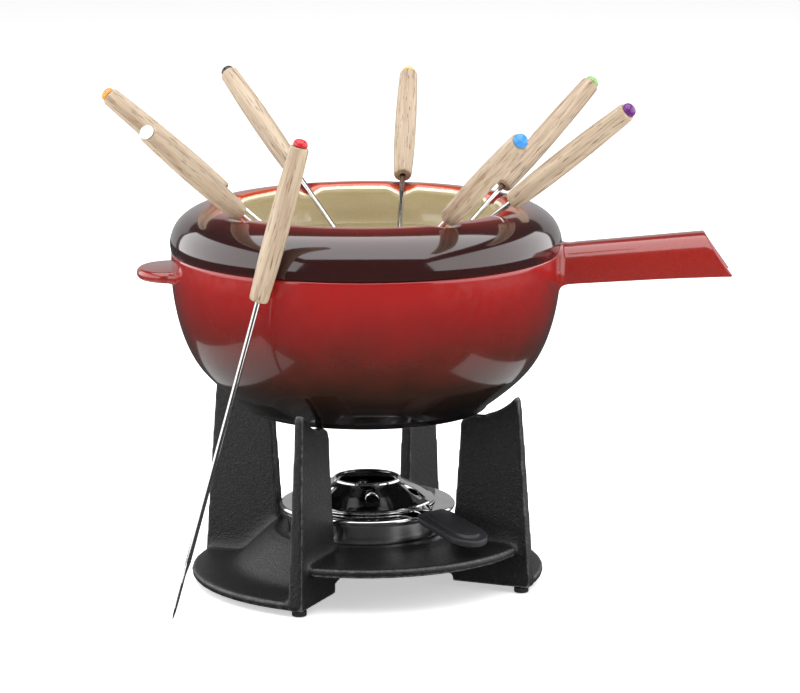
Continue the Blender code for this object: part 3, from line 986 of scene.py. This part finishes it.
def grip():
    """Plastic tongue with a raised pad."""
    d, t = around(LEVER_AZ), around(LEVER_AZ + 90)

    def outline(r0, r1, half, steps=20):
        pts = [(r0, half * 0.72), (r0 + 3.5, half * 0.92), (r0 + 7.0, half)]
        for i in range(steps + 1):
            a = math.pi / 2 - math.pi * i / steps
            pts.append((r1 - half + half * math.cos(a), half * math.sin(a)))
        pts += [(r0 + 7.0, -half), (r0 + 3.5, -half * 0.92), (r0, -half * 0.72)]
        return pts

    # (near end, far end, half width), then (lift, inset) from the underside up
    body, pad = (52.2, 94.0, 12.8), (57.0, 89.5, 8.0)
    body_layers = [(-2.4, 1.3), (-2.2, 0.6), (-1.7, 0.1), (0.5, 0.0), (1.1, 0.15), (1.5, 0.6), (1.6, 1.1)]
    pad_layers = [(1.6, -0.9), (1.8, -0.5), (2.5, 0.0), (2.85, 0.3), (3.0, 0.9)]
    layers = [(body, *layer) for layer in body_layers] + [(pad, *layer) for layer in pad_layers]
    sections = []
    for (r0, r1, half), lift, inset in layers:
        points = []
        for r, y in outline(r0 + inset, r1 - inset, half - inset):
            z = 46.2 - (r - 52.0) * GRIP_SLOPE + lift
            points.append(d * r + t * y + Vector((0, 0, z)))
        sections.append(points)
    return place(loft("grip_tongue", sections, 35))


settle(cup(), MATERIALS["chrome"], "burner_cup", "burner_cup")
pad = disc("wadding_disc", 34.0, 30.4, 37.4, 0.3)
settle(pad, MATERIALS["wadding"], "burner_cup", "fuel_pad")
screen = disc("gauze_disc", 35.0, 38.1, 39.0, 0.1)
settle(screen, MATERIALS["gauze"], "burner_cup", "wick_gauze")
settle(cover(), MATERIALS["chrome"], "burner_cover", "burner_cover")
settle(hood(), MATERIALS["chrome"], "regulator", "regulator_hood")
settle(lever(), MATERIALS["chrome"], "regulator", "regulator_lever")
settle(grip(), MATERIALS["plastic"], "regulator", "lever_grip")


# ---------------------------------------------------------------- studio


def floor():
    bm = bmesh.new()
    bmesh.ops.create_circle(bm, cap_ends=True, segments=96, radius=9.0)
    obj = finish_mesh("studio_floor", bm)
    obj.location = (AXIS.x, AXIS.y, -0.0003)
    s = Shader(
        "studio_floor",
        base_color=(0.90, 0.90, 0.90, 1.0),
        roughness=0.9,
        specular_ior_level=0.1,
        emission_color=(1.0, 1.0, 1.0, 1.0),
        emission_strength=0.5,
    )
    obj.data.materials.append(s.material)
    obj.visible_glossy = False


def panel(name, at, target, wide, high, radiance, lights=True):
    """Soft box of an even brightness, hidden from the camera itself. Without
    lights it only shows in reflections, as a white card would."""
    light = bpy.data.lights.new(name, "AREA")
    light.shape = "RECTANGLE"
    light.size, light.size_y = wide, high
    light.energy = radiance * math.pi * wide * high
    obj = bpy.data.objects.new(name, light)
    bpy.context.scene.collection.objects.link(obj)
    obj.location = Vector(at) + AXIS
    aim = Vector(target) - Vector(at)
    obj.rotation_euler = aim.to_track_quat("-Z", "Y").to_euler()
    obj.visible_camera = False
    obj.visible_diffuse = lights


def studio_world():
    """White behind the set, a soft fill, and a dim room in reflections."""
    world = bpy.data.worlds.new("studio")
    world.use_nodes = True
    tree = world.node_tree
    tree.nodes.clear()
    output = tree.nodes.new("ShaderNodeOutputWorld")
    path = tree.nodes.new("ShaderNodeLightPath")

    def sky(strength):
        made = tree.nodes.new("ShaderNodeBackground")
        made.inputs["Color"].default_value = (1.0, 1.0, 1.0, 1.0)
        made.inputs["Strength"].default_value = strength
        return made.outputs[0]

    def choose(ray, no, yes):
        made = tree.nodes.new("ShaderNodeMixShader")
        tree.links.new(path.outputs[ray], made.inputs[0])
        tree.links.new(no, made.inputs[1])
        tree.links.new(yes, made.inputs[2])
        return made.outputs[0]

    lit = choose("Is Glossy Ray", sky(0.42), sky(0.06))
    tree.links.new(choose("Is Camera Ray", lit, sky(1.0)), output.inputs[0])
    bpy.context.scene.world = world


CAMERA_AT = (19.2, -2150.6, 560.7)
LOOKS_DOWN = 11.19
ROLL = -0.17


def camera():
    """Long lens in front of the set and above its rim, looking slightly down."""
    data = bpy.data.cameras.new("camera")
    data.sensor_width = 36.0
    data.lens = 172.27
    obj = bpy.data.objects.new("camera", data)
    bpy.context.scene.collection.objects.link(obj)
    obj.location = AXIS + Vector(CAMERA_AT) * MM
    pitch, roll = math.radians(90 - LOOKS_DOWN), math.radians(ROLL)
    obj.rotation_euler = (Matrix.Rotation(pitch, 3, "X") @ Matrix.Rotation(roll, 3, "Z")).to_euler()
    bpy.context.scene.camera = obj


floor()
panel("overhead", (0, -0.22, 1.5), (0, -0.05, 0.2), 2.2, 2.4, 2.5)
for side in (-1, 1):
    panel("wall", (1.4 * side, -0.1, 0.58), (0, -0.1, 0.40), 3.4, 1.15, 1.8)
panel("card_left", (-0.245, 0.02, 0.001), (-0.245, 0.02, 1.0), 0.17, 0.42, 0.5, lights=False)
panel("card_right", (0.205, 0.02, 0.001), (0.205, 0.02, 1.0), 0.09, 0.30, 0.6, lights=False)
panel("backdrop", (0, 1.7, 0.42), (0, 0, 0.2), 2.6, 0.9, 0.35, lights=False)
studio_world()
camera()
bpy.context.scene.view_settings.view_transform = "Standard"
